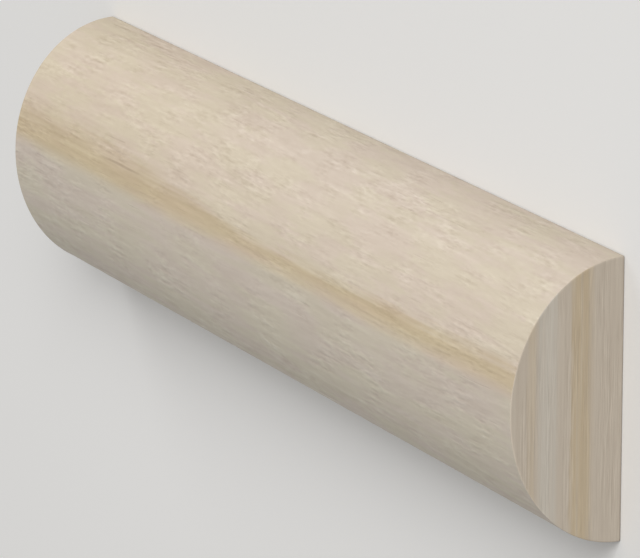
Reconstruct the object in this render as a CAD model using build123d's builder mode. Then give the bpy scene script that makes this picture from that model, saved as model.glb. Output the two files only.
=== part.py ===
from build123d import *
import os

# Half round moulding: one straight length of pale wood with a flat back and a rounded face.
# The section is half an ellipse, as the moulder's knives leave it, and both ends are square saw cuts.
# It lies on its flat back: x runs along the grain, y across the back, and z out to the crown.
# The origin is the middle of the back.

# Sizes in millimetres
back_width = 44.0  # across the flat back, between the corners before they are eased
projection = 19.0  # from the flat back out to the crown of the round
length = 175.0  # between the two saw cuts
arris_ease = 0.3  # radius on each long edge, where the round meets the back
cut_ease = 0.15  # radius sanded onto the rim of each saw cut

# The section stands in the plane of the first saw cut, with y to its right and z up
first_cut = Plane.YZ.offset(-length / 2)

with BuildPart() as half_round_moulding:
    with BuildSketch(first_cut) as section:
        # The round goes from one long edge over the crown to the other, and the back closes it
        with BuildLine():
            rounded_face = EllipticalCenterArc(
                (0, 0), x_radius=back_width / 2, y_radius=projection, arc_size=180
            )
            Line(rounded_face @ 1, rounded_face @ 0)
        make_face()
        # The two corners are eased here, so that the rim of each cut is one smooth loop
        fillet(section.vertices(), radius=arris_ease)
    extrude(amount=length)

    saw_cuts = half_round_moulding.faces().filter_by(Axis.X)
    fillet(saw_cuts.edges(), radius=cut_ease)

half_round_moulding.part.label = "half_round_moulding"

os.makedirs("parts", exist_ok=True)
export_step(half_round_moulding.part, "parts/half_round_moulding.step")
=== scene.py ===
# %% [markdown]
# A half round moulding
#
# This lesson dresses one short length of half round moulding: a stick of pale wood with a flat
# back, a rounded face and two saw cuts. A moulder planes such a stick in one pass, so the whole
# object is a single piece, and all of its looks come from three things: the true curve of its
# section, the light on that curve, and the wood itself.
#
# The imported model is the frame. It says how long, wide and deep the stick is, and nothing here
# changes that.

# %% Load the frame and read the stick's size
import bpy
import math
from mathutils import Matrix, Vector


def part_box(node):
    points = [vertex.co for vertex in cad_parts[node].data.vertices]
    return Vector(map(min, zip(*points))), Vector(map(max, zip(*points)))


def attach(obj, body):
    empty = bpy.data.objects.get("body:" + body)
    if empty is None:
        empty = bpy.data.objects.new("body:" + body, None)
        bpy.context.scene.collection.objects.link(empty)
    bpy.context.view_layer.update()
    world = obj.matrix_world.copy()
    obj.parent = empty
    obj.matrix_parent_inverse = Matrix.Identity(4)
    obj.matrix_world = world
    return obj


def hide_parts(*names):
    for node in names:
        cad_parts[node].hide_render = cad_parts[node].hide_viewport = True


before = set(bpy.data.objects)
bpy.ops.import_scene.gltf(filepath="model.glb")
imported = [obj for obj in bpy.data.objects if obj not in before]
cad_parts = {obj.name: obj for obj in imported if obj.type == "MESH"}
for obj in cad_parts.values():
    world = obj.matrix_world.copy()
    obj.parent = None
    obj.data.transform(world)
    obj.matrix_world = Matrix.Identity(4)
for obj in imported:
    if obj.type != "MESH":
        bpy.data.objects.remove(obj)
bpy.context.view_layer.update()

lowest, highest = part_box("half_round_moulding")
length, back_width, projection = highest - lowest
millimetre = 0.001
print(f"stick: {length / millimetre:.1f} mm long, {back_width / millimetre:.1f} mm across the back, "
      f"{projection / millimetre:.1f} mm out to the crown")

# %% [markdown]
# The camera
#
# The stick lies on its back, with its length along X, its back across Y and its round facing up
# in Z. The view that we want shows the back standing upright. We could stand the stick up, but it
# has to stay where the frame puts it. So the camera is turned on its side instead, until the
# width of the back, Y, is upright in the picture.
#
# The camera's place is given as a photographer would say it: how far it has swung from straight
# in front of the round towards the near saw cut, how far it has risen, and how far off it stands.
# A long lens keeps the edges of the stick almost parallel.

# %% Place the camera
swing = math.radians(62.7)  # from facing the crown of the round towards the near cut
rise = math.radians(15.67)  # towards the upper long edge
distance = 0.8913  # from the point that the camera looks at
aim_along = 0.0087  # that point lies a little nearer to the near cut than the stick's middle
lens_length = 316.3  # millimetres, for a picture as wide as film_width
film_width = 36.0

aim = Vector((aim_along, 0, projection / 2))
sight = Vector((
    math.sin(swing) * math.cos(rise),
    math.sin(rise),
    math.cos(swing) * math.cos(rise),
))
picture_right = Vector((0, 1, 0)).cross(sight).normalized()
picture_up = sight.cross(picture_right)

camera_data = bpy.data.cameras.new("camera")
camera_data.sensor_width = film_width
camera_data.lens = lens_length
camera_data.clip_start = 10 * millimetre
camera = bpy.data.objects.new("camera", camera_data)
camera.matrix_world = Matrix.Translation(aim + distance * sight) @ Matrix(
    (picture_right, picture_up, sight)
).transposed().to_4x4()
bpy.context.scene.collection.objects.link(camera)
bpy.context.scene.camera = camera
print("camera at", [round(value, 4) for value in camera.matrix_world.translation])

# %% [markdown]
# Small tools for node trees
#
# The stick's shape and both of its woods are worked out by nodes, and most of those nodes only do
# sums. Adding each one takes a line to make it, a line for each option and a line for each link.
# Three short functions do that, so that a tree reads like the sum that it stands for.

# %% Build small tools for node trees


def put(tree, kind, **settings):
    """Add one node to a tree and set its options."""
    node = tree.nodes.new(kind)
    for name, value in settings.items():
        setattr(node, name, value)
    return node


def feed(tree, socket, value):
    """Join a socket to another node's output, or write a plain value into it."""
    if isinstance(value, bpy.types.NodeSocket):
        tree.links.new(value, socket)
    else:
        socket.default_value = value


def calc(tree, operation, *terms):
    """One step of arithmetic on numbers or other nodes' outputs."""
    node = put(tree, "ShaderNodeMath", operation=operation)
    for socket, term in zip(node.inputs, terms):
        feed(tree, socket, term)
    return node.outputs[0]


print("tools:", put.__name__, feed.__name__, calc.__name__)

# %% [markdown]
# The floor and the light that comes from everywhere
#
# A pale stick on a pale floor is a trap: the floor throws so much light back that the shade side
# loses its shade. We could lay a dark floor, but then the picture would be dark too. Instead the
# floor and the world each have two values, one that the camera sees and a lower one that lights
# the stick, and a node that knows one kind of ray from another chooses between them. The floor
# still takes the stick's shadow.

# %% Light the world and lay the floor


def seen_directly(tree):
    """1 for what the camera sees, straight or in a mirror or through glass, and 0 for other light."""
    path = put(tree, "ShaderNodeLightPath").outputs
    mirrored = calc(tree, "MAXIMUM", path["Is Glossy Ray"], path["Is Transmission Ray"])
    return calc(tree, "MAXIMUM", path["Is Camera Ray"], mirrored)


def plain(colour):
    """A colour with its alpha."""
    return (*colour, 1.0)


def blend(tree, factor, first, second, kind="MIX"):
    """Mix two colours."""
    node = put(tree, "ShaderNodeMix", data_type="RGBA", blend_type=kind)
    for label, value in zip(("Factor", "A", "B"), (factor, first, second)):
        feed(tree, node.inputs[label], plain(value) if isinstance(value, tuple) else value)
    return node.outputs["Result"]


sky_given = 0.39
sky_seen = 0.86
floor_given = (0.17, 0.167, 0.163)
floor_seen = (0.97, 0.96, 0.94)
floor_half = 3.0

bpy.context.scene.view_settings.view_transform = "Standard"
world = bpy.data.worlds.new("studio")
world.use_nodes = True
bpy.context.scene.world = world
t = world.node_tree
sky = t.nodes["Background"].inputs
sky["Color"].default_value = plain((1, 1, 1))
sky_strength = calc(t, "MULTIPLY_ADD", seen_directly(t), sky_seen - sky_given, sky_given)
feed(t, sky["Strength"], sky_strength)

floor_paint = bpy.data.materials.new("floor_paint")
floor_paint.use_nodes = True
t = floor_paint.node_tree
paint = t.nodes["Principled BSDF"].inputs
paint["Roughness"].default_value = 0.9
paint["Specular IOR Level"].default_value = 0.0
feed(t, paint["Base Color"], blend(t, seen_directly(t), floor_given, floor_seen))

floor_mesh = bpy.data.meshes.new("floor")
floor_mesh.from_pydata(
    [(x * floor_half, y * floor_half, 0) for x, y in ((-1, -1), (1, -1), (1, 1), (-1, 1))],
    [],
    [(0, 1, 2, 3)],
)
floor_mesh.materials.append(floor_paint)
floor = bpy.data.objects.new("floor", floor_mesh)
bpy.context.scene.collection.objects.link(floor)
print("floor", floor_half * 2, "m wide")

# %% [markdown]
# The lamps
#
# A round face only looks round if the light on it has a direction. One lamp straight above would
# light both long sides alike. So the two lamps both hang on the side of the upper long edge: the
# stronger one towards the near cut, the weaker one low and towards the far cut. The light then
# runs from bright above the crown to shade below it, and the near cut is a step darker than the
# round. Both are broad, because a small lamp would cut a hard line of shade along the crown.

# %% Hang the soft lamps


def soft_lamp(name, towards, away, side, power):
    """A square lamp, `away` metres from the stick in a direction, that faces the stick."""
    data = bpy.data.lights.new(name, "AREA")
    data.shape = "SQUARE"
    data.size = side
    data.energy = power
    lamp = bpy.data.objects.new(name, data)
    lamp.location = towards * away
    lamp.rotation_euler = towards.to_track_quat("Z", "Y").to_euler()
    bpy.context.scene.collection.objects.link(lamp)
    print(name, "is", round(lamp.location.z, 2), "m above the floor")


def compass(swing, lift):
    """A direction from its angle round from +X towards +Y, and its angle above the floor."""
    swing, lift = math.radians(swing), math.radians(lift)
    return Vector((
        math.cos(swing) * math.cos(lift),
        math.sin(swing) * math.cos(lift),
        math.sin(lift),
    ))


soft_lamp("near_upper_lamp", towards=compass(45, 32), away=2.5, side=1.4, power=35.0)
soft_lamp("far_upper_lamp", towards=compass(135, 15), away=2.5, side=1.4, power=14.6)

# %% [markdown]
# The rule behind the stick's shape
#
# Every section of this stick is the same: half of an ellipse, with its flat side on the floor. It
# could be drawn as a curve and extruded. But then each cut is one many-sided face, and the faces
# between them are as long as the stick, so none of them can carry the fine relief that the knives
# and the saw leave.
#
# A shape that follows one rule is just what Geometry Nodes are good at. We start as the mill does,
# with a squared stick: a box whose faces are ruled into small squares. Then each point is moved by
# a formula, and the same tree moulds a stick of any size.
#
# A sharp edge needs a few close rows of points, and a long smooth face doesn't. The first group
# tells each point how far from the edge it lies: the first rows crowd up to the edge, and the
# others share what is left evenly. The second group rounds a corner. A point in the corner's
# square is pulled towards the centre of the rounding until the square has become a circle.

# %% Make groups for the rows near an edge and for an eased corner


def new_group(kind, name, inputs, outputs):
    """A node group with named sockets. Returns the tree, its inputs and its outputs."""
    tree = bpy.data.node_groups.new(name, kind)
    for label, (socket_type, value) in inputs.items():
        socket = tree.interface.new_socket(label, in_out="INPUT", socket_type=socket_type)
        if value is not None:
            socket.default_value = value
    for label, socket_type in outputs.items():
        tree.interface.new_socket(label, in_out="OUTPUT", socket_type=socket_type)
    return tree, put(tree, "NodeGroupInput").outputs, put(tree, "NodeGroupOutput").inputs


NUMBER = "NodeSocketFloat"
COUNT = "NodeSocketInt"
VECTOR = "NodeSocketVector"
SHAPE = "NodeSocketGeometry"
FINISH = "NodeSocketMaterial"

rows_group, given, made = new_group(
    "GeometryNodeTree",
    "rows_from_edge",
    {"Steps": (NUMBER, 0), "All Steps": (NUMBER, 1), "Reach": (NUMBER, 1), "Ease": (NUMBER, 0)},
    {"Distance": NUMBER},
)
t = rows_group

# Close row number n lies n / 2, squared, eases from the edge
close_rows = 3
close = calc(t, "MULTIPLY", calc(t, "MINIMUM", given["Steps"], close_rows), 0.5)
close = calc(t, "MULTIPLY", calc(t, "MULTIPLY", close, close), given["Ease"])
left_over = calc(t, "MULTIPLY_ADD", given["Ease"], -(close_rows / 2) ** 2, given["Reach"])
even_step = calc(t, "DIVIDE", left_over, calc(t, "SUBTRACT", given["All Steps"], close_rows))
even_steps = calc(t, "MAXIMUM", calc(t, "SUBTRACT", given["Steps"], close_rows), 0)
feed(t, made["Distance"], calc(t, "MULTIPLY_ADD", even_steps, even_step, close))

corner_group, given, made = new_group(
    "GeometryNodeTree",
    "eased_corner",
    {"Past One Side": (NUMBER, 0), "Past Other Side": (NUMBER, 0)},
    {"Pull": NUMBER, "Span": NUMBER},
)
t = corner_group
one, other = given["Past One Side"], given["Past Other Side"]
span = calc(t, "SQRT", calc(t, "MULTIPLY_ADD", one, one, calc(t, "MULTIPLY", other, other)))
larger = calc(t, "MAXIMUM", one, other)
feed(t, made["Pull"], calc(t, "SUBTRACT", calc(t, "DIVIDE", larger, span), 1))
feed(t, made["Span"], span)
print("groups:", rows_group.name, corner_group.name)

# %% [markdown]
# A squared stick
#
# The tree takes every size of the stick as a named input, and its first node is the box that the
# other nodes will mould. The faces at the two ends will be sawn wood and the others planed wood.
# Once the points have moved, a formula could hardly tell them apart near the rims, so the ends are
# marked now, while they still face straight along X.

# %% Begin the tree that moulds the stick


def use_group(tree, group, **values):
    """Place a group in a tree and feed its named inputs. Returns its outputs."""
    kind = "GeometryNodeGroup" if tree.bl_idname == "GeometryNodeTree" else "ShaderNodeGroup"
    node = put(tree, kind, node_tree=group)
    for label, value in values.items():
        feed(tree, node.inputs[label.replace("_", " ")], value)
    return node.outputs


stick_tree, size, result = new_group(
    "GeometryNodeTree",
    "moulded_stick",
    {
        "Length": (NUMBER, 175 * millimetre),
        "Back Width": (NUMBER, 44 * millimetre),
        "Projection": (NUMBER, 19 * millimetre),
        "Arris Ease": (NUMBER, 0.3 * millimetre),
        "Cut Ease": (NUMBER, 0.15 * millimetre),
        "Rows Along": (COUNT, 200),
        "Rings": (COUNT, 64),
        "Grain Depth": (NUMBER, 0.1 * millimetre),
        "Saw Depth": (NUMBER, 0.04 * millimetre),
        "Edge Fade": (NUMBER, 1.5 * millimetre),
        "Seed": (NUMBER, 3.0),
        "Moulded Wood": (FINISH, None),
        "Sawn Wood": (FINISH, None),
    },
    {"Geometry": SHAPE},
)
t = stick_tree

box = put(t, "GeometryNodeMeshCube")
box.inputs["Size"].default_value = (2, 2, 2)
feed(t, box.inputs["Vertices X"], calc(t, "ADD", size["Rows Along"], 1))
feed(t, box.inputs["Vertices Y"], calc(t, "MULTIPLY_ADD", size["Rings"], 2, 1))
feed(t, box.inputs["Vertices Z"], calc(t, "ADD", size["Rings"], 1))

face_direction = put(t, "ShaderNodeSeparateXYZ")
feed(t, face_direction.inputs[0], put(t, "GeometryNodeInputNormal").outputs["Normal"])
marked = put(t, "GeometryNodeCaptureAttribute", domain="FACE")
marked.capture_items.new("FLOAT", "Sawn")
feed(t, marked.inputs["Geometry"], box.outputs["Mesh"])
feed(t, marked.inputs["Sawn"], calc(t, "ABSOLUTE", face_direction.outputs["X"]))
is_sawn = calc(t, "GREATER_THAN", marked.outputs["Sawn"], 0.5)
print("moulded_stick takes", ", ".join(size.keys()[:-1]))

# %% [markdown]
# From the square to the half ellipse
#
# On the real stick the knives cut away all that stands outside the curve. Here nothing is cut
# away: the box's section is pressed in. Its outside becomes the outline, and each square ring
# inside that becomes a smaller half ellipse. So the cuts at both ends keep an even net of small
# faces, right up to their rims.
#
# A point's ring says how far in it lies, and its climb says how far it has come from the long
# edge to the crown. The two sides mirror each other, so one quarter is worked out, and the sign
# of Y puts each point back on its own side.

# %% Find each point's ring and its climb to the crown
place = put(t, "ShaderNodeSeparateXYZ")
feed(t, place.inputs[0], put(t, "GeometryNodeInputPosition").outputs["Position"])
end_side = calc(t, "SIGN", place.outputs["X"])
edge_side = calc(t, "SIGN", place.outputs["Y"])
sideways = calc(t, "ABSOLUTE", place.outputs["Y"])
height = calc(t, "MULTIPLY_ADD", place.outputs["Z"], 0.5, 0.5)

# The ring is 1 on the outside and 0 in the middle of the back. The climb goes from 0 to 1
ring = calc(t, "MAXIMUM", sideways, height)
climb = calc(t, "DIVIDE", calc(t, "SUBTRACT", height, sideways), ring)
climb = calc(t, "MULTIPLY_ADD", climb, 0.5, 0.5)

half_length = calc(t, "MULTIPLY", size["Length"], 0.5)
half_width = calc(t, "MULTIPLY", size["Back Width"], 0.5)
half_rows = calc(t, "MULTIPLY", size["Rows Along"], 0.5)
quarter_steps = calc(t, "MULTIPLY", size["Rings"], 2)
from_end = calc(t, "SUBTRACT", 1, calc(t, "ABSOLUTE", place.outputs["X"]))

from_cut = use_group(
    t, rows_group, Steps=calc(t, "MULTIPLY", from_end, half_rows), All_Steps=half_rows,
    Reach=half_length, Ease=size["Cut Ease"],
)["Distance"]
inwards = use_group(
    t, rows_group, Steps=calc(t, "MULTIPLY", calc(t, "SUBTRACT", 1, ring), size["Rings"]),
    All_Steps=size["Rings"], Reach=1, Ease=calc(t, "DIVIDE", size["Cut Ease"], size["Projection"]),
)["Distance"]
angle = use_group(
    t, rows_group, Steps=calc(t, "MULTIPLY", climb, quarter_steps), All_Steps=quarter_steps,
    Reach=math.pi / 2, Ease=calc(t, "DIVIDE", size["Arris Ease"], size["Projection"]),
)["Distance"]
print("nodes so far:", len(t.nodes))

# %% Press the square section into half ellipses
ring_size = calc(t, "SUBTRACT", 1, inwards)
cosine, sine = calc(t, "COSINE", angle), calc(t, "SINE", angle)
across = calc(t, "MULTIPLY", calc(t, "MULTIPLY", half_width, ring_size), cosine)
out = calc(t, "MULTIPLY", calc(t, "MULTIPLY", size["Projection"], ring_size), sine)

# The direction that points straight out of the round
lean = put(t, "ShaderNodeCombineXYZ")
feed(t, lean.inputs["Y"], calc(t, "MULTIPLY", size["Projection"], cosine))
feed(t, lean.inputs["Z"], calc(t, "MULTIPLY", half_width, sine))
lean_unit = put(t, "ShaderNodeVectorMath", operation="NORMALIZE")
feed(t, lean_unit.inputs[0], lean.outputs[0])
print("nodes so far:", len(t.nodes))

# %% [markdown]
# Eased edges
#
# The long edges are sharp enough to sit tight against a wall, but not so sharp that they cut or
# fray: a stroke of sandpaper has eased them by 0.3 millimetres. The saw leaves the rims of the
# cuts sharper still. A Bevel modifier could round both, but it would have to find the edges
# first, and it would spoil the even net. The points near each edge already lie in close rows, so
# the rounding is one more step of the same formula: how far is this point past the line where the
# rounding starts, on one side and on the other?

# %% Ease the long edges and the rims of the cuts
past_round = calc(t, "SUBTRACT", size["Arris Ease"], calc(t, "MULTIPLY", inwards, half_width))
past_round = calc(t, "MAXIMUM", past_round, 0)
past_back = calc(t, "MAXIMUM", calc(t, "SUBTRACT", size["Arris Ease"], out), 0)
arris = use_group(t, corner_group, Past_One_Side=past_round, Past_Other_Side=past_back)

# The rims are eased in the same way, with their own smaller radius
spare = calc(t, "SUBTRACT", size["Arris Ease"], size["Cut Ease"])
past_long_face = calc(t, "SUBTRACT", calc(t, "MAXIMUM", past_round, past_back), spare)
past_long_face = calc(t, "MAXIMUM", past_long_face, 0)
past_cut = calc(t, "MAXIMUM", calc(t, "SUBTRACT", size["Cut Ease"], from_cut), 0)
rim = use_group(t, corner_group, Past_One_Side=past_long_face, Past_Other_Side=past_cut)
share = calc(t, "MULTIPLY", calc(t, "DIVIDE", past_long_face, arris["Span"]), rim["Pull"])
share = calc(t, "ADD", arris["Pull"], share)

eased = put(t, "ShaderNodeVectorMath", operation="SCALE")
feed(t, eased.inputs[0], lean_unit.outputs[0])
feed(t, eased.inputs["Scale"], calc(t, "MULTIPLY", past_round, share))
moved = put(t, "ShaderNodeSeparateXYZ")
feed(t, moved.inputs[0], eased.outputs[0])

new_x = calc(t, "MULTIPLY_ADD", past_cut, rim["Pull"], calc(t, "SUBTRACT", half_length, from_cut))
new_y = calc(t, "ADD", across, moved.outputs["Y"])
new_z = calc(t, "ADD", out, moved.outputs["Z"])
new_z = calc(t, "SUBTRACT", new_z, calc(t, "MULTIPLY", past_back, share))
new_place = put(t, "ShaderNodeCombineXYZ")
feed(t, new_place.inputs["X"], calc(t, "MULTIPLY", new_x, end_side))
feed(t, new_place.inputs["Y"], calc(t, "MULTIPLY", new_y, edge_side))
feed(t, new_place.inputs["Z"], new_z)
print("nodes so far:", len(t.nodes))

# %% [markdown]
# What the knives and the saw leave
#
# Neither leaves a perfect surface. They lift the soft fibres and tear some out, a few hundredths
# of a millimetre deep, in lines along the grain on the long faces and across the stick on the
# cuts. A bump in the material could hint at that, but a part that is printed or cut from this mesh
# would come out glassy. So the larger strands are real hollows in the mesh. Noise that is squeezed
# to the width of a strand and drawn out to its length looks just like them, and it colours the
# wood later on too.
#
# The relief only ever goes into the wood, and it dies out before each edge. So the edges stay
# crisp, and the stick never grows past the size that its frame gives.

# %% Note how free each point is of the edges


def ramp(tree, value, low, high, to_low=0.0, to_high=1.0):
    """Turn a value from low..high into to_low..to_high with soft ends."""
    node = put(tree, "ShaderNodeMapRange", interpolation_type="SMOOTHSTEP")
    for label, number in zip(("Value", "From Min", "From Max", "To Min", "To Max"),
                             (value, low, high, to_low, to_high)):
        feed(tree, node.inputs[label], number)
    return node.outputs["Result"]


from_rim = calc(t, "MINIMUM", calc(t, "MULTIPLY", inwards, half_width), out)
from_rim = calc(t, "MAXIMUM", from_cut, from_rim)
from_arris = calc(t, "MAXIMUM", out, calc(t, "SUBTRACT", half_width, across))
free_of_rim = ramp(t, from_rim, 0.0, size["Edge Fade"])
free_of_arris = ramp(t, from_arris, 0.0, size["Edge Fade"])
freedom = put(t, "GeometryNodeCaptureAttribute", domain="POINT")
freedom.capture_items.new("FLOAT", "Freedom")
feed(t, freedom.inputs["Geometry"], marked.outputs["Geometry"])
feed(t, freedom.inputs["Freedom"], calc(t, "MULTIPLY", free_of_rim, free_of_arris))
press = put(t, "GeometryNodeSetPosition")
feed(t, press.inputs["Geometry"], freedom.outputs["Geometry"])
feed(t, press.inputs["Position"], new_place.outputs[0])
print("nodes so far:", len(t.nodes))

# %% Hollow out the soft fibres


def drawn_out(tree, place, cell_length, cell_width, seed, detail=1.0):
    """Noise with cells of a length in X and a width in Y and Z. Its middle is 0."""
    cells = put(tree, "ShaderNodeCombineXYZ")
    for axis, cell in zip("XYZ", (cell_length, cell_width, cell_width)):
        feed(tree, cells.inputs[axis], cell)
    spread = put(tree, "ShaderNodeVectorMath", operation="DIVIDE")
    feed(tree, spread.inputs[0], place)
    feed(tree, spread.inputs[1], cells.outputs[0])
    noise = put(tree, "ShaderNodeTexNoise", noise_dimensions="4D")
    feed(tree, noise.inputs["Vector"], spread.outputs[0])
    feed(tree, noise.inputs["W"], seed)
    noise.inputs["Scale"].default_value = 1.0
    noise.inputs["Detail"].default_value = detail
    return calc(tree, "SUBTRACT", noise.outputs[0], 0.5)


torn_length, torn_width = 4 * millimetre, 1.2 * millimetre
sawn_length, sawn_width = 12 * millimetre, 0.9 * millimetre

surface_place = put(t, "GeometryNodeInputPosition").outputs["Position"]
surface_axes = put(t, "ShaderNodeSeparateXYZ")
feed(t, surface_axes.inputs[0], surface_place)
across_place = put(t, "ShaderNodeCombineXYZ")
for to_axis, from_axis in zip("XYZ", "YXZ"):
    feed(t, across_place.inputs[to_axis], surface_axes.outputs[from_axis])
torn = drawn_out(t, surface_place, torn_length, torn_width, size["Seed"])
sawn = drawn_out(t, across_place.outputs[0], sawn_length, sawn_width, size["Seed"])
hollow = put(t, "GeometryNodeSwitch", input_type="FLOAT")
feed(t, hollow.inputs["Switch"], is_sawn)
feed(t, hollow.inputs["False"], calc(t, "MULTIPLY", calc(t, "ADD", torn, 0.5), size["Grain Depth"]))
feed(t, hollow.inputs["True"], calc(t, "MULTIPLY", calc(t, "ADD", sawn, 0.5), size["Saw Depth"]))
depth = calc(t, "MULTIPLY", hollow.outputs[0], freedom.outputs["Freedom"])
inward = put(t, "ShaderNodeVectorMath", operation="SCALE")
feed(t, inward.inputs[0], put(t, "GeometryNodeInputNormal").outputs["Normal"])
feed(t, inward.inputs["Scale"], calc(t, "MULTIPLY", depth, -1))
carve = put(t, "GeometryNodeSetPosition")
feed(t, carve.inputs["Geometry"], press.outputs["Geometry"])
feed(t, carve.inputs["Offset"], inward.outputs[0])
print("nodes so far:", len(t.nodes))

# %% Give the faces their wood and end the tree
smooth = put(t, "GeometryNodeSetShadeSmooth")
feed(t, smooth.inputs["Geometry"], carve.outputs["Geometry"])
real = put(t, "GeometryNodeRealizeInstances")
feed(t, real.inputs["Geometry"], smooth.outputs["Geometry"])
on_faces = put(t, "GeometryNodeSetMaterial")
feed(t, on_faces.inputs["Geometry"], real.outputs["Geometry"])
feed(t, on_faces.inputs["Material"], size["Moulded Wood"])
on_cuts = put(t, "GeometryNodeSetMaterial")
feed(t, on_cuts.inputs["Geometry"], on_faces.outputs["Geometry"])
feed(t, on_cuts.inputs["Selection"], is_sawn)
feed(t, on_cuts.inputs["Material"], size["Sawn Wood"])
feed(t, result["Geometry"], on_cuts.outputs["Geometry"])
print("moulded_stick has", len(t.nodes), "nodes")

# %% [markdown]
# Fibres
#
# Planed close up, this wood is cream with thousands of short flecks: grooves a few millimetres
# long and less than half a millimetre wide, where the knives have opened a fibre. Each groove
# shows as a light line beside a dark one. Wider strands and soft clouds of tone lie under them,
# and here and there one long dark thread.
#
# A photograph of wood could be laid over the stick, but it would stretch on the round and show a
# seam at each edge. Noise that is drawn out along the fibres makes the same marks, at several
# sizes, and it is worked out in solid space, in millimetres. So it runs over the round and the
# back as it does in the real stick, which is wood all through. Both woods below use it, so it is
# a node group.

# %% Make the group for the fibres
fibre_group, given, made = new_group(
    "ShaderNodeTree",
    "fibre_grain",
    {
        "Place": (VECTOR, None),
        "Fleck Length": (NUMBER, 3.4),
        "Fleck Width": (NUMBER, 0.56),
        "Wander": (NUMBER, 2.5),
        "Seed": (NUMBER, 0.0),
    },
    {"Fleck": NUMBER, "Strand": NUMBER, "Cloud": NUMBER, "Thread": NUMBER},
)
t = fibre_group

# The fibres don't run dead straight: they wander a little over the stick's length
wander = drawn_out(t, given["Place"], cell_length=60.0, cell_width=15.0, seed=given["Seed"], detail=0.0)
wander = calc(t, "MULTIPLY", wander, given["Wander"])
share_in_depth = -0.8
shift = put(t, "ShaderNodeCombineXYZ")
feed(t, shift.inputs["Y"], wander)
feed(t, shift.inputs["Z"], calc(t, "MULTIPLY", wander, share_in_depth))
bent = put(t, "ShaderNodeVectorMath", operation="ADD")
feed(t, bent.inputs[0], given["Place"])
feed(t, bent.inputs[1], shift.outputs[0])


def marks(lengths, widths, own_seed, detail=1.0):
    """Marks that are so many flecks long and wide."""
    along = calc(t, "MULTIPLY", given["Fleck Length"], lengths)
    across = calc(t, "MULTIPLY", given["Fleck Width"], widths)
    return drawn_out(t, bent.outputs[0], along, across, calc(t, "ADD", given["Seed"], own_seed), detail)


cloud = marks(5.0, 11.0, own_seed=11.0)
strand = marks(5.0, 2.4, own_seed=23.0)
short_fleck = marks(0.55, 0.94, own_seed=5.0)
long_fleck = marks(2.0, 1.0, own_seed=7.0)
thread = marks(2.6, 0.6, own_seed=51.0, detail=0.0)

# The flecks come in clumps, strong in one place and faint in the next
clump = ramp(t, marks(2.4, 6.0, own_seed=37.0), -0.12, 0.16, 0.35, 1.7)
feed(t, made["Fleck"], calc(t, "MULTIPLY", calc(t, "ADD", short_fleck, long_fleck), clump))
feed(t, made["Strand"], strand)
feed(t, made["Cloud"], cloud)
feed(t, made["Thread"], ramp(t, thread, 0.24, 0.34))
print("fibre_grain has", len(t.nodes), "nodes")

# %% [markdown]
# A stained band
#
# Some growth layers of this tree are stained tan. On each surface such a layer shows as a band
# with soft sides, which is full between two places and gone beyond two others. A colour ramp could
# draw one, but its stops can't be fed by other nodes. This small group can, and both woods use it.

# %% Make the group for a stained band
band_group, given, made = new_group(
    "ShaderNodeTree",
    "stained_band",
    {
        "Position": (NUMBER, 0.0),
        "Start": (NUMBER, 0.0),
        "Full From": (NUMBER, 1.0),
        "Full To": (NUMBER, 2.0),
        "End": (NUMBER, 3.0),
    },
    {"Mask": NUMBER},
)
rising = ramp(band_group, given["Position"], given["Start"], given["Full From"])
falling = ramp(band_group, given["Position"], given["Full To"], given["End"], 1.0, 0.0)
feed(band_group, made["Mask"], calc(band_group, "MULTIPLY", rising, falling))
print("stained_band has", len(band_group.nodes), "nodes")

# %% [markdown]
# Mixing wood
#
# A wood colour is a ground with darker and lighter fibres over it. Mixing towards a second colour
# for each kind of fibre would need a colour for each ground as well. It is simpler to lighten or
# darken whatever ground is there by a share of itself. Where wood is darker it is also a little
# browner, so red loses less than blue does.

# %% Make tools that mix a wood


def scaled(tree, vector, factor):
    """Make a vector or a colour so many times larger."""
    node = put(tree, "ShaderNodeVectorMath", operation="SCALE")
    feed(tree, node.inputs[0], vector)
    feed(tree, node.inputs["Scale"], factor)
    return node.outputs[0]


def added_up(tree, *effects):
    """The sum of some effects, each times its own strength."""
    total = 0.0
    for effect, strength in effects:
        total = calc(tree, "MULTIPLY_ADD", effect, strength, total)
    return total


def toned(tree, colour, change):
    """Lighten or darken a colour by a share of itself, and blue more than red."""
    red_green_blue = (0.88, 1.0, 1.10)
    lift = put(tree, "ShaderNodeVectorMath", operation="ADD")
    feed(tree, lift.inputs[0], scaled(tree, red_green_blue, change))
    lift.inputs[1].default_value = (1, 1, 1)
    return blend(tree, 1.0, colour, lift.outputs[0], "MULTIPLY")


def bumped(tree, height, deepest):
    """The tilt of the surface where small marks stand out or lie deeper."""
    node = put(tree, "ShaderNodeBump")
    node.inputs["Strength"].default_value = 1.0
    node.inputs["Distance"].default_value = deepest
    feed(tree, node.inputs["Height"], height)
    return node.outputs["Normal"]


def new_wood(name):
    """A material, its tree, its shader's inputs, and its own coordinates in millimetres."""
    material = bpy.data.materials.new(name)
    material.use_nodes = True
    tree = material.node_tree
    where = put(tree, "ShaderNodeTexCoord").outputs["Object"]
    return material, tree, tree.nodes["Principled BSDF"].inputs, scaled(tree, where, 1 / millimetre)


print("tools:", ", ".join(tool.__name__ for tool in (scaled, added_up, toned, bumped, new_wood)))

# %% [markdown]
# The tan streak
#
# One stained layer comes out of the round just above the crown, as a streak that runs the whole
# length. Its lower side is firm and nearly straight. Its upper side frays into thin strands, and
# towards the far cut it fades over three times the width. For a few centimetres near the middle
# the stain is narrower and weaker, and it pales again towards the near cut.
#
# A band with four fixed places would look painted on, so the streak has its own two sides: the
# firm one follows the fibres, and the frayed one is pushed up and down by long thin noise.
#
# Just above it, towards the far cut, the knives have opened one long dark pore.

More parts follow.
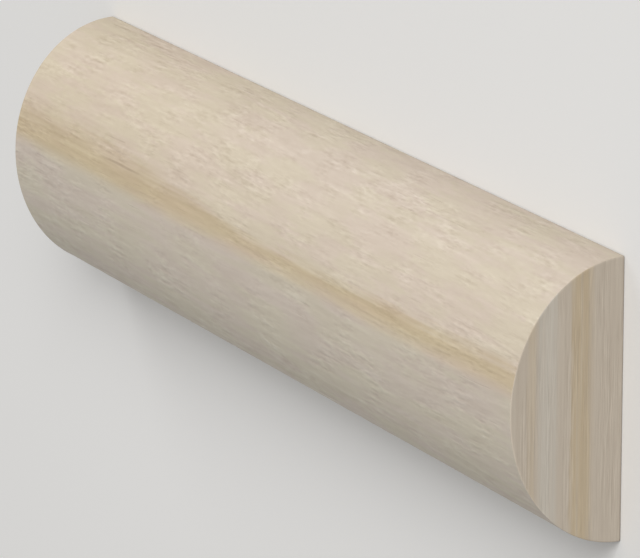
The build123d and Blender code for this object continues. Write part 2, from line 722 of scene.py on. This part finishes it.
# %% Lay the streak and the pore along the round
moulded_wood, t, body, place = new_wood("moulded_wood")
along_across_out = put(t, "ShaderNodeSeparateXYZ")
feed(t, along_across_out.inputs[0], place)
along, across, _ = along_across_out.outputs
fibres = use_group(t, fibre_group, Place=place, Fleck_Length=3.4, Fleck_Width=0.56, Wander=2.5,
                   Seed=2.0)


def opening(in_middle, at_far_cut):
    """A measure of the streak that changes between the stick's middle and its far cut."""
    return ramp(t, along, 0.0, -75.0, in_middle, at_far_cut)


# Places across the round are counted from the crown towards the upper long edge
side_wander, fraying = 1.2, opening(2.5, 4.5)
firm_from, firm_to = 1.6, 5.0
fade_from, fade_to = opening(5.8, 5.0), opening(7.8, 11.9)
strands = drawn_out(t, place, cell_length=22.0, cell_width=0.7, seed=9.0)
edge = calc(t, "MULTIPLY_ADD", fibres["Strand"], side_wander, across)
frayed = calc(t, "MULTIPLY_ADD", strands, fraying, edge)

# Where the stain is weak, its frayed side counts as further up, so the streak ends sooner
narrowing, weakening, paling = 0.75, -0.12, -0.12
weak = use_group(t, band_group, Position=along, Start=-28.0, Full_From=0.0, Full_To=27.0,
                 End=50.0)["Mask"]
frayed = calc(t, "MULTIPLY_ADD", weak, narrowing, frayed)
strength = calc(t, "MULTIPLY_ADD", weak, weakening, 1.0)
strength = calc(t, "MULTIPLY_ADD", ramp(t, along, 40.0, 75.0), paling, strength)

lower_side = ramp(t, edge, firm_from, firm_to)
upper_side = ramp(t, frayed, fade_from, fade_to, 1.0, 0.0)
streak = calc(t, "MULTIPLY", calc(t, "MULTIPLY", lower_side, upper_side), strength)

pore_across = use_group(t, band_group, Position=edge, Start=6.55, Full_From=6.72, Full_To=6.88,
                        End=7.05)["Mask"]
pore_along = use_group(t, band_group, Position=along, Start=-56.0, Full_From=-50.0, Full_To=-44.0,
                       End=-37.0)["Mask"]
pore = calc(t, "MULTIPLY", pore_across, pore_along)
print("moulded_wood has", len(t.nodes), "nodes so far")

# %% [markdown]
# The planed faces
#
# Above the streak the wood is a warm cream, and warmest at the far end. Below it, the same wood is
# cooler and greyer, and its flecks are wider and fainter. Just below the streak the ground is also
# darkened a little, and that darkening is painted shade. So the fibres come in twice, in two widths,
# and a mask that changes over at the streak's lower side chooses between them. The wider set also
# tints the cream, a touch pinker in one strand and yellower in the next.
#
# The bare wood is matt: planed and sanded, with no varnish. A torn groove is rougher than the
# smooth wood beside it, so the roughness and the bump come from the same flecks as the colour
# does, and the three agree.

# %% Mix the planed wood
cream = (0.698, 0.600, 0.485)
warm_cream = (0.704, 0.597, 0.464)
grey_cream = (0.666, 0.595, 0.493)
# shaded_grey is painted shade, for the strip of the round just below the streak
shaded_grey = (0.634, 0.558, 0.466)
tan = (0.600, 0.484, 0.319)
pinker = (1.013, 0.991, 1.002)
yellower = (0.998, 1.005, 0.958)

above = ramp(t, edge, firm_from, 4.6)
wider = use_group(t, fibre_group, Place=place, Fleck_Length=3.8, Fleck_Width=0.9, Wander=2.5,
                  Seed=15.0)
fleck = calc(t, "MULTIPLY_ADD", above, calc(t, "SUBTRACT", fibres["Fleck"], wider["Fleck"]),
             wider["Fleck"])
below_strength, above_strength = 0.11, 0.20
fleck_strength = calc(t, "MULTIPLY_ADD", above, above_strength - below_strength, below_strength)
upper_ground = blend(t, ramp(t, along, 30.0, -80.0), cream, warm_cream)
# Just below the streak the lower ground darkens towards shaded_grey: painted shade on the round
lower_ground = blend(t, ramp(t, across, -8.0, 2.0), grey_cream, shaded_grey)
ground = blend(t, above, lower_ground, upper_ground)
ground = blend(t, streak, ground, tan)
change = added_up(
    t,
    (fleck, fleck_strength),
    (fibres["Strand"], 0.19),
    (fibres["Cloud"], 0.10),
    (fibres["Thread"], -0.06),
    (pore, -0.26),
    (calc(t, "MULTIPLY", strands, streak), 0.28),
)

# The tint is held back on the streak, where the wood changes its hue less
held_back = -0.6
hue = added_up(t, (wider["Fleck"], 0.5), (wider["Strand"], 1.6), (fibres["Cloud"], 1.6))
hue = calc(t, "MULTIPLY", hue, calc(t, "MULTIPLY_ADD", streak, held_back, 1.0))
tint = blend(t, ramp(t, hue, -0.3, 0.3), pinker, yellower)
feed(t, body["Base Color"], blend(t, 1.0, toned(t, ground, change), tint, "MULTIPLY"))
feed(t, body["Roughness"], calc(t, "MULTIPLY_ADD", fleck, -0.3, 0.6))

# A wide fleck has gentler sides than a narrow one of the same depth, so it is made deeper
extra_depth, thread_depth = 0.3, -0.3
heights = calc(t, "MULTIPLY_ADD", above, -extra_depth, 1 + extra_depth)
heights = calc(t, "MULTIPLY_ADD", fibres["Thread"], thread_depth, calc(t, "MULTIPLY", fleck, heights))
feed(t, body["Normal"], bumped(t, heights, 0.07 * millimetre))
print("moulded_wood has", len(t.nodes), "nodes")

# %% [markdown]
# The layers on the saw cuts
#
# On the cuts the growth layers lie parallel to the back, so they cross the cut as straight lines
# from side to side. One broad layer is stained tan. Further out lie a cooler stretch, a thin tan
# line, and close to the rim a thin dark one. Wood rings could be drawn as circles round the heart
# of the tree, but this stick was sawn so far from the heart that its rings look straight. So each
# layer is one stained band, placed by its distance from the back.
#
# The fibre group draws along X, and on a cut the lines run along Y, so a Mapping node turns the
# pattern by a quarter turn.

# %% Lay the layers across the cuts
sawn_wood, t, body, place = new_wood("sawn_wood")
turned = put(t, "ShaderNodeMapping")
turned.inputs["Rotation"].default_value = (0, 0, -math.pi / 2)
feed(t, turned.inputs["Vector"], place)
layers = use_group(t, fibre_group, Place=turned.outputs[0], Fleck_Length=8.0, Fleck_Width=0.33,
                   Wander=0.3, Seed=7.0)

# The sides of a layer waver with the flecks, by so many millimetres for a fleck of strength 1
wavering = 0.8
from_back = put(t, "ShaderNodeSeparateXYZ")
feed(t, from_back.inputs[0], place)
depth = calc(t, "MULTIPLY_ADD", layers["Fleck"], wavering, from_back.outputs["Z"])

tan_layer = use_group(t, band_group, Position=depth, Start=4.6, Full_From=6.4, Full_To=8.1,
                      End=9.3)["Mask"]
cool_layer = use_group(t, band_group, Position=depth, Start=10.6, Full_From=11.6, Full_To=13.9,
                       End=14.6)["Mask"]
tan_line = use_group(t, band_group, Position=depth, Start=14.5, Full_From=15.2, Full_To=15.6,
                     End=16.3)["Mask"]
dark_line = use_group(t, band_group, Position=depth, Start=17.4, Full_From=17.7, Full_To=17.8,
                      End=18.1)["Mask"]
print("sawn_wood has", len(t.nodes), "nodes so far")

# %% [markdown]
# The sawn wood
#
# The cut is the same wood seen from its end, but the saw leaves it duller than the knives leave
# the round. It could share one material with the planed faces and differ only by a mask. Two
# materials are easier to read and to change, and the groups keep what they share.

# %% Mix the sawn wood
cut_cream = (0.746, 0.645, 0.523)
cut_grey = (0.755, 0.683, 0.579)
cut_tan = (0.713, 0.578, 0.398)

# Within a layer the stain comes in thin lines too: stronger in one, and fainter in the next
usual_strength, unevenness, tan_line_strength = 0.92, 1.8, 0.45
lines = drawn_out(t, turned.outputs[0], cell_length=30.0, cell_width=0.5, seed=4.0)
lines = calc(t, "MULTIPLY_ADD", lines, unevenness, usual_strength)
stain = calc(t, "MAXIMUM", tan_layer, calc(t, "MULTIPLY", tan_line, tan_line_strength))
ground = blend(t, calc(t, "MULTIPLY", cool_layer, lines), cut_cream, cut_grey)
ground = blend(t, calc(t, "MULTIPLY", stain, lines), ground, cut_tan)
change = added_up(
    t,
    (layers["Fleck"], 0.20),
    (layers["Strand"], 0.16),
    (layers["Thread"], -0.08),
    (dark_line, -0.07),
)
feed(t, body["Base Color"], toned(t, ground, change))
feed(t, body["Roughness"], calc(t, "MULTIPLY_ADD", layers["Fleck"], -0.3, 0.75))
feed(t, body["Normal"], bumped(t, layers["Fleck"], 0.03 * millimetre))
print("sawn_wood has", len(t.nodes), "nodes")

# %% [markdown]
# Moulding the stick
#
# Now the tree can run. It goes on an empty object as a modifier, and gets the stick's sizes from
# the frame and its two woods. A modifier keeps each input under a short code of its own, its
# identifier, and not under its name, so a small function looks the code up. The result is then
# copied into a plain mesh. A live modifier would do for a picture, but a plain mesh can be
# measured here, and it rides on the frame's body like any other piece.

# %% Mould the stick and let it ride on the frame


def set_input(modifier, label, value):
    """Write a modifier's input, which is stored under its socket's identifier."""
    for item in modifier.node_group.interface.items_tree:
        if item.item_type == "SOCKET" and item.in_out == "INPUT" and item.name == label:
            modifier[item.identifier] = value
            return
    raise KeyError(label)


blank = bpy.data.objects.new("blank", bpy.data.meshes.new("blank"))
bpy.context.scene.collection.objects.link(blank)
moulder = blank.modifiers.new("moulder", "NODES")
moulder.node_group = stick_tree
for label, value in {
    "Length": length,
    "Back Width": back_width,
    "Projection": projection,
    "Moulded Wood": moulded_wood,
    "Sawn Wood": sawn_wood,
}.items():
    set_input(moulder, label, value)
bpy.context.view_layer.update()
graph = bpy.context.evaluated_depsgraph_get()
stick_mesh = bpy.data.meshes.new_from_object(blank.evaluated_get(graph))
bpy.data.objects.remove(blank)
stick = bpy.data.objects.new("moulded_stick", stick_mesh)
bpy.context.scene.collection.objects.link(stick)

# The box began with an empty material slot, which no face uses
stick_mesh.materials.pop(index=0)
for number, material in enumerate(stick_mesh.materials):
    covered = sum(face.material_index == number for face in stick_mesh.polygons)
    print(material.name, "covers", covered, "faces")
stick_mesh.calc_loop_triangles()
print("the stick has", len(stick_mesh.loop_triangles), "triangles")

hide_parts("half_round_moulding")
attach(stick, "root")
